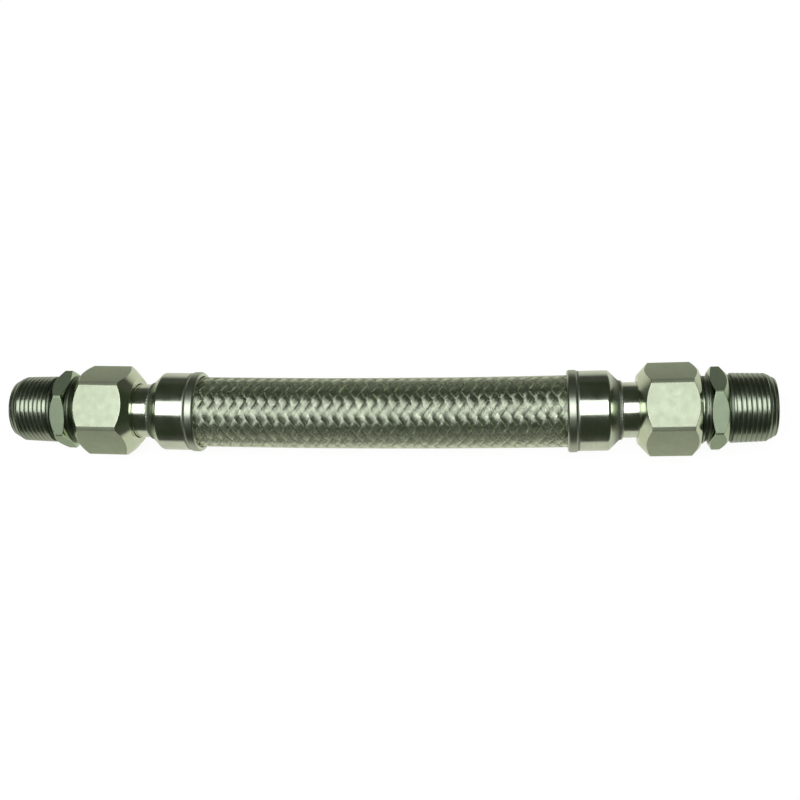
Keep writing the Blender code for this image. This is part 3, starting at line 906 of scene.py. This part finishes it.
def collar_outline(size):
    """Closed outline of a collar: (station, radius, rounding, wear) points."""
    outer = size.collar_bore + size.collar_wall
    slope_start = size.collar_length - size.nose
    outer_low = outer - size.shoulder
    hole = size.tube_radius + size.gap
    slant = size.collar_wall * math.sqrt(2.0)
    inner_top = slope_start - slant + (outer_low - hole)
    inner_low = inner_top - (size.collar_bore - hole)
    bead = outer + size.bead_height
    # Painted shade: the nose ring and the slope up from it, the groove, and the bead so that its
    # highlight is dimmer
    nose_shade, groove_shade, bead_shade = -0.9, -0.7, -0.38
    return [
        (size.collar_length, outer_low, 0.0001, nose_shade),
        (slope_start, outer_low, 0.0003, nose_shade),
        (slope_start - size.shoulder, outer, 0.0016, 0.0),
        (size.bead_width + size.groove_width, outer, 0.0006, 0.0),
        (size.bead_width, outer - size.groove_depth, 0.0003, groove_shade),
        (size.bead_width - size.bead_slope, bead, 0.0011, bead_shade),
        (size.bead_slope, bead, 0.0011, bead_shade),
        (0.0, outer - 0.0001, 0.0002, 0.0),
        (0.0, size.collar_bore, 0.0002, 0.0),
        (inner_low, size.collar_bore, 0.0008, 0.0),
        (inner_top, hole, 0.0005, 0.0),
        (size.collar_length, hole, 0.0001, 0.0),
    ]


def head_stations(size, nut):
    """Stations of the low and the high end of the head's shoulder, and of the head's face."""
    seat = size.collar_length + size.tail_showing + nut.back_wall
    low = seat + size.gap * (math.sqrt(2.0) - 1)
    top = low + size.head_radius - size.tube_radius
    return low, top, top + size.head_length


def tail_outline(size, nut):
    """Closed outline of a tube tail with its upset head and cone."""
    start = size.collar_length - size.tail_grip
    shoulder_low, shoulder_top, face = head_stations(size, nut)
    mouth = size.head_radius - size.head_rim
    cone_depth = (mouth - size.tube_bore) / math.tan(size.cone)
    return [
        (face, size.head_radius, 0.0002, 0.0),
        (shoulder_top, size.head_radius, 0.0003, 0.0),
        (shoulder_low, size.tube_radius, 0.0003, 0.0),
        (start, size.tube_radius, 0.0002, 0.0),
        (start, size.tube_bore, 0.0002, 0.0),
        (face - cone_depth, size.tube_bore, 0.0004, 0.0),
        (face, mouth, 0.0002, 0.0),
    ]


def weld_mesh(size):
    """Rippled weld that closes the collar on to the tube."""
    steps = 6
    sunk = 0.0001     # foot of the weld, below the tube's skin
    swing = 0.14      # of the height, up and down from ripple to ripple
    sway = 0.03       # of the width, that a ripple leans along the tube
    angles = round_angles(size.weld_ripples * 4)
    foot = size.tube_radius - sunk
    columns = []
    for around in angles:
        ripple = math.cos(around * size.weld_ripples)
        height = size.weld_height * (1.0 - swing + swing * ripple)
        wander = 0.00006 * math.sin(around * 5.0) + 0.00004 * math.sin(around * 11.0 + 1.0)
        start = size.collar_length - size.weld_lap + wander
        end = start + size.weld_width
        outline = [(start, foot, 0.0)]
        for step in range(steps + 1):
            arch = math.sin(step / steps * math.pi)
            station = start + size.weld_width * (step / steps + sway * ripple * arch)
            outline.append((station, foot + sunk + height * arch ** 0.7, 0.0))
        outline.append((end, foot, 0.0))
        columns.append(outline)
    return turned_mesh(angles, columns, smooth_below=60.0)


class HOSE_OT_build_collars(bpy.types.Operator):
    """Press the two collars that hold the braid's ends, with their welds"""

    bl_idname = "hose_connector.build_collars"
    bl_label = "Build Collars"

    def execute(self, context):
        size = settings().end
        finish = turned_steel("collar_polished_steel", size.collar_colour, size.polished, painted_shade=1.0)
        weld_colour = shade(size.collar_colour, 0.8)[:3]
        weld_finish = turned_steel("weld_steel", weld_colour, size.weld_roughness, lines=0.2)
        angles = round_angles(112)
        columns = [rounded(collar_outline(size), steps=4)] * len(angles)
        for side in SIDES:
            mesh = joined(turned_mesh(angles, columns), weld_mesh(size))
            place_end_piece("collar_shell", mesh, "collar", side, "collar_steel", finish,
                            weld_finish)
        return {"FINISHED"}


class HOSE_OT_build_tails(bpy.types.Operator):
    """Turn the two tube tails with their cone seats"""

    bl_idname = "hose_connector.build_tails"
    bl_label = "Build Tube Tails"

    def execute(self, context):
        size = settings().end
        finish = turned_steel("tube_polished_steel", size.tube_colour, size.polished, lines=0.8)
        angles = round_angles(96)
        columns = [rounded(tail_outline(size, settings().nut))] * len(angles)
        for side in SIDES:
            mesh = turned_mesh(angles, columns)
            place_end_piece("tube_tail", mesh, "tail", side, "tube_steel", finish)
        return {"FINISHED"}


# Union nuts


def nut_column(size, start, around):
    """Outline of a union nut at one angle from the middle of a flat."""
    outer = hexagon_radius(around, size)
    front = start + size.nut_length
    front_slope = outer - size.front_radius
    back_rate = size.back_taper / (size.corner_radius - size.back_radius)
    back_slope = (outer - size.back_radius) * back_rate
    seat = start + size.back_wall
    # The last field brightens the broken edges: worn shine with a painted highlight
    return [
        (front, size.front_radius, size.edge, 0.6),
        (front - front_slope, outer, size.edge, BRIGHT),
        (start + back_slope, outer, size.edge, BRIGHT),
        (start, size.back_radius, size.edge, 0.8),
        (start, size.tube_hole, size.edge, 0.3),
        (seat, size.tube_hole, size.edge, 0.0),
        (seat + size.thread_radius - size.tube_hole, size.thread_radius, size.edge, 0.0),
        (front - size.mouth_chamfer, size.thread_radius, 0.0001, 0.0),
        (front, size.thread_radius + size.mouth_chamfer, 0.0001, 0.4),
    ]


class HOSE_OT_build_nuts(bpy.types.Operator):
    """Mill the two union nuts"""

    bl_idname = "hose_connector.build_nuts"
    bl_label = "Build Union Nuts"

    def execute(self, context):
        size, end = settings().nut, settings().end
        finish = milled_steel("nut_satin_steel", size.colour, size.roughness)
        start = end.collar_length + end.tail_showing
        angles = hexagon_angles(0.0, size)
        columns = [rounded(nut_column(size, start, from_flat(around, 0.0))) for around in angles]
        for side in SIDES:
            mesh = turned_mesh(angles, columns)
            place_end_piece("milled_nut", mesh, "union_nut", side, "nut_steel", finish)
        return {"FINISHED"}


# Male adapters


def tooth(phase, crest, root=0.16):
    """Height of a truncated thread, 0 at its root and 1 at its crest, by shares of the pitch."""
    phase = phase % 1.0
    flank = (1.0 - crest - root) / 2
    if phase < crest:
        return 1.0
    if phase < crest + flank:
        return 1.0 - (phase - crest) / flank
    if phase < crest + flank + root:
        return 0.0
    return (phase - crest - flank - root) / flank


def fade(value, start, end):
    """Smooth step from 0 at start to 1 at end."""
    part = max(0.0, min(1.0, (value - start) / (end - start)))
    return part * part * (3.0 - 2.0 * part)


def thread_rows(low, high, samples, pitch, crest_share, around, form):
    """Rows of a right-hand thread from high to low station at one angle.

    form gives the crest's radius, the thread's depth and the lowest radius at a station.
    """
    full_shade_depth = 0.0003
    rows = []
    for sample in range(samples, -1, -1):
        station = low + (high - low) * sample / samples
        crest, depth, lowest = form(station)
        hollow = 1.0 - tooth(station / pitch - around / math.tau, crest_share)
        # Painted shade in the thread's roots, fainter on a shallow thread
        painted_shade = hollow * min(1.0, depth / full_shade_depth)
        rows.append((station, max(crest - depth * hollow, lowest), -painted_shade))
    return rows


def pipe_rows(size, at, around):
    """Rows of the pipe thread, from its chamfered tip down to the neck beside the hexagon."""
    low = at.runout_end - (size.pipe_radius - size.runout_radius)
    high = at.tip - 0.0003
    grows_from, grows_to = at.hex_front + 0.0008, at.runout_end + 0.0016
    lowest = size.tip_radius - 0.0006
    chamfer_start = at.tip - size.tip_chamfer
    small_end = size.pipe_radius - size.pipe_taper * (chamfer_start - at.runout_end)
    chamfer_slope = (small_end - size.tip_radius) / size.tip_chamfer

    def form(station):
        cone = size.pipe_radius - size.pipe_taper * max(0.0, station - at.runout_end)
        chamfer = size.tip_radius + chamfer_slope * (at.tip - station)
        depth = size.pipe_depth * fade(station, grows_from, grows_to)
        return min(cone, chamfer), depth, lowest

    rows = thread_rows(low, high, 148, size.pipe_pitch, size.pipe_crest, around, form)
    # The neck's corner by the hexagon gets painted shade
    return rows[:-1] + [(low, size.runout_radius, CORNER_SHADE)]


def union_rows(size, at, around):
    """Rows of the union thread, from the relief groove down to the cone's collar."""
    full_from, full_to = at.thread_start + 0.0013, at.relief_end - 0.0003
    lowest = size.relief_radius - 0.0001

    def form(station):
        chamfer = max(0.0, station - full_to) + max(0.0, full_from - station)
        return size.union_radius - chamfer, size.union_depth, lowest

    return thread_rows(at.thread_start, at.relief_end, 56, size.union_pitch, size.union_crest,
                       around, form)


def adapter_column(size, at, around, turn):
    """Closed outline of an adapter at one angle, as (station, radius, wear) rows.

    The first and the last corner of each rounded part only aim its ends at the threads, so
    their rows are left out.
    """
    outer = hexagon_radius(from_flat(around, turn), size)
    back_fall = (outer - size.face_radius) * math.tan(size.chamfer)
    front_fall = outer - size.front_radius
    relief_slope = size.union_radius - size.relief_radius
    between_ends = slice(CORNER_ROWS, -CORNER_ROWS)

    # Last field: bright broken edges at the tip and the hexagon, worn shine with a painted
    # highlight; painted shade in the corners by the neck and the relief groove
    inner_side = rounded([
        (at.thread_start, size.nose_top, 0.0, 0.0),
        (at.nose_top, size.nose_top, 0.0002, 0.0),
        (at.nose, size.nose_radius, 0.0003, 0.0),
        (at.nose, size.bore, 0.0001, 0.0),
        (at.tip - size.bore_chamfer, size.bore, 0.0001, 0.0),
        (at.tip, size.bore + size.bore_chamfer, 0.0001, 0.3),
        (at.tip, size.tip_radius, size.edge, 0.5),
        (at.tip - 0.0009, size.tip_radius + 0.0005, 0.0, 0.0),
    ])
    hexagon = rounded([
        (at.runout_end, size.runout_radius, 0.0, 0.0),
        (at.hex_front, size.runout_radius, 0.0002, CORNER_SHADE),
        (at.hex_front, size.front_radius, 0.0001, 0.2),
        (at.hex_front - front_fall, outer, size.edge, BRIGHT),
        (at.hex_back + back_fall, outer, size.edge, BRIGHT),
        (at.hex_back, size.face_radius, 0.0001, 0.2),
        (at.hex_back, size.relief_radius, 0.0003, CORNER_SHADE),
        (at.relief_end + relief_slope, size.relief_radius, 0.0004, CORNER_SHADE / 2),
        (at.relief_end, size.union_radius, 0.0, 0.0),
    ])
    return (pipe_rows(size, at, around) + hexagon[between_ends] + union_rows(size, at, around)
            + inner_side[between_ends])


def adapter_stations(size, end, nut):
    """Where an adapter's forms begin and end along its axis."""
    tail_face = head_stations(end, nut)[2]
    mouth = end.head_radius - end.head_rim
    rise = end.gap / math.cos(end.cone)
    slope = math.tan(end.cone)
    nose_top = tail_face + (size.nose_top + rise - mouth) / slope
    hex_back = end.collar_length + end.tail_showing + nut.nut_length + size.neck
    hex_front = hex_back + size.hex_thickness
    return SimpleNamespace(
        nose=tail_face + (size.nose_radius + rise - mouth) / slope,
        nose_top=nose_top,
        thread_start=nose_top + size.nose_collar,
        relief_end=hex_back - size.relief_length,
        hex_back=hex_back,
        hex_front=hex_front,
        runout_end=hex_front + size.runout_length,
        tip=hex_front + size.pipe_length,
    )


class HOSE_OT_build_adapters(bpy.types.Operator):
    """Turn, mill and thread the two male adapters"""

    bl_idname = "hose_connector.build_adapters"
    bl_label = "Build Male Adapters"

    def execute(self, context):
        size, end, nut = settings().adapter, settings().end, settings().nut
        finish = turned_steel("adapter_turned_steel", size.colour, size.roughness, lines=1.0,
                              painted_shade=0.75)
        hex_finish = milled_steel("adapter_hex_steel", size.hex_colour, size.hex_roughness)
        at = adapter_stations(size, end, nut)
        for side, turn in zip(SIDES, (size.left_turn, size.right_turn)):
            angles = hexagon_angles(turn, size)
            columns = [adapter_column(size, at, around, turn) for around in angles]
            mesh = turned_mesh(angles, columns, smooth_below=50.0)
            for face in mesh.polygons:
                outside = math.hypot(face.center.x, face.center.y) > size.front_radius
                if outside and at.hex_back < face.center.z < at.hex_front:
                    face.material_index = 1
            place_end_piece("threaded_adapter", mesh, "adapter", side, "adapter_steel", finish,
                            hex_finish)
        return {"FINISHED"}


# Stage


def opaque(tint):
    return (*tint, 1.0)


def add_camera(size):
    """Camera over the connector, looking almost straight down."""
    data = bpy.data.cameras.new("photo_camera")
    camera = in_scene("photo_camera", data)
    data.sensor_width = 36.0
    data.lens = size.focal_length
    data.clip_start, data.clip_end = 0.01, 20.0
    stand, aim = Vector(size.camera_place), Vector(size.camera_aim)
    look = (aim - stand).normalized()
    right_hand = look.cross(Vector((0.0, 1.0, 0.0))).normalized()
    upward = right_hand.cross(look)
    turn = Matrix((right_hand, upward, -look)).transposed()
    roll = Matrix.Rotation(size.camera_roll, 3, "Z")
    camera.matrix_world = Matrix.Translation(stand) @ (turn @ roll).to_4x4()
    bpy.context.scene.camera = camera


def add_lamp(size):
    """Large soft lamp over and a little behind the connector."""
    data = bpy.data.lights.new("overhead_lamp", "AREA")
    data.shape = "RECTANGLE"
    data.size, data.size_y = size.lamp_length, size.lamp_width
    data.energy = size.lamp_power
    lamp = in_scene("overhead_lamp", data)
    lamp.location = (-size.lamp_shift, size.lamp_offset, size.lamp_height)
    lamp.visible_camera = False


def empty_material(name):
    """New material without nodes, and a board to put them on."""
    material = bpy.data.materials.new(name)
    material.use_nodes = True
    material.node_tree.nodes.clear()
    return material, NodeBoard(material.node_tree)


def axis_of_place(board, axis):
    """Place on the object along one axis."""
    coordinates = board.add("ShaderNodeTexCoord").outputs
    return board.value("ShaderNodeSeparateXYZ", axis, {"Vector": coordinates["Object"]})


def tent_cloth(size):
    """Cloth that glows near the floor and is dark overhead."""
    material, board = empty_material("tent_cloth")
    fade_from = size.tent_radius * math.sin(size.tent_from)
    fade_to = size.tent_radius * math.sin(size.tent_to)
    strength = axis_of_place(board, "Z").ranged(fade_from, fade_to, size.tent_low, size.tent_high,
                                                "SMOOTHSTEP")
    glow = board.add("ShaderNodeEmission", {"Color": opaque(size.tent_colour),
                                            "Strength": strength})
    board.add("ShaderNodeOutputMaterial", {"Surface": glow.outputs["Emission"]})
    return material


def add_tent(size):
    """Dome round the scene, which the camera itself doesn't see."""
    build = bmesh.new()
    bmesh.ops.create_uvsphere(build, u_segments=96, v_segments=48, radius=size.tent_radius)
    low = [vertex for vertex in build.verts if vertex.co.z < -size.tent_skirt]
    bmesh.ops.delete(build, geom=low, context="VERTS")
    bmesh.ops.reverse_faces(build, faces=build.faces)
    mesh = bpy.data.meshes.new("studio_tent")
    build.to_mesh(mesh)
    build.free()
    mesh.materials.append(tent_cloth(size))
    tent = in_scene("studio_tent", mesh)
    tent.visible_camera = False
    tent.visible_shadow = False


def floor_paper(size):
    """Paper that is white to the camera and in reflections is a bright card under the object."""
    material, board = empty_material("floor_paper")
    ray = {name: Value(board, socket)
           for name, socket in board.add("ShaderNodeLightPath").outputs.items()}
    from_card = abs(axis_of_place(board, "Y") + size.card_shift)
    card_strength = from_card.ranged(size.card_near, size.card_far, size.floor_reflected,
                                     size.tent_low, "SMOOTHSTEP")
    card = board.add("ShaderNodeEmission", {"Color": opaque(size.card_colour),
                                            "Strength": card_strength})
    glow = board.add("ShaderNodeEmission", {"Strength": ray["Is Camera Ray"] * size.floor_seen})
    matt = board.add("ShaderNodeBsdfDiffuse", {"Color": opaque(size.floor_colour)})
    paper = board.add("ShaderNodeAddShader", {0: matt.outputs["BSDF"],
                                              1: glow.outputs["Emission"]})
    mirrored = ray["Is Glossy Ray"] + ray["Is Transmission Ray"]
    chosen = board.add("ShaderNodeMixShader", {"Fac": mirrored, 1: paper.outputs["Shader"],
                                               2: card.outputs["Emission"]})
    board.add("ShaderNodeOutputMaterial", {"Surface": chosen.outputs["Shader"]})
    return material


def add_floor(size):
    """Pale floor that keeps the connector's shadow."""
    far = size.floor_reach
    mesh = bpy.data.meshes.new("pale_floor")
    corners = [(-far, -far, 0.0), (far, -far, 0.0), (far, far, 0.0), (-far, far, 0.0)]
    mesh.from_pydata(corners, [], [(0, 1, 2, 3)])
    mesh.materials.append(floor_paper(size))
    in_scene("pale_floor", mesh)


def set_world():
    world = bpy.data.worlds.new("pale_studio")
    world.use_nodes = True
    background = world.node_tree.nodes["Background"]
    background.inputs["Color"].default_value = opaque((1.0, 1.0, 1.0))
    background.inputs["Strength"].default_value = 1.0
    bpy.context.scene.world = world


class HOSE_OT_build_stage(bpy.types.Operator):
    """Set the camera, then the lamp, the tent, the floor and the world"""

    bl_idname = "hose_connector.build_stage"
    bl_label = "Build Stage"

    def execute(self, context):
        size = settings().stage
        add_camera(size)
        add_lamp(size)
        add_tent(size)
        add_floor(size)
        set_world()
        context.scene.view_settings.view_transform = "Standard"
        return {"FINISHED"}


class HOSE_PT_connector(bpy.types.Panel):
    """Lists the steps that build the connector"""

    bl_idname = "HOSE_PT_connector"
    bl_label = "Hose Connector"
    bl_space_type = "VIEW_3D"
    bl_region_type = "UI"
    bl_category = "Hose Connector"

    def draw(self, context):
        for step in STEPS:
            self.layout.operator(step.bl_idname)


STEPS = (
    HOSE_OT_build_stage,
    HOSE_OT_build_bellows,
    HOSE_OT_build_braid,
    HOSE_OT_build_collars,
    HOSE_OT_build_tails,
    HOSE_OT_build_nuts,
    HOSE_OT_build_adapters,
)

GROUPS = (
    BraidSettings,
    BellowsSettings,
    EndSettings,
    NutSettings,
    AdapterSettings,
    StageSettings,
    ConnectorSettings,
)


def register():
    for item in GROUPS + STEPS + (HOSE_PT_connector,):
        bpy.utils.register_class(item)
    bpy.types.Scene.hose_connector = PointerProperty(
        type=ConnectorSettings, name="Hose connector", description="Sizes and colours")


def unregister():
    del bpy.types.Scene.hose_connector
    for item in reversed(GROUPS + STEPS + (HOSE_PT_connector,)):
        bpy.utils.unregister_class(item)


def main():
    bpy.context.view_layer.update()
    register()
    for step in STEPS:
        group, name = step.bl_idname.split(".")
        getattr(getattr(bpy.ops, group), name)()
    bpy.context.view_layer.update()


if __name__ == "__main__":
    main()
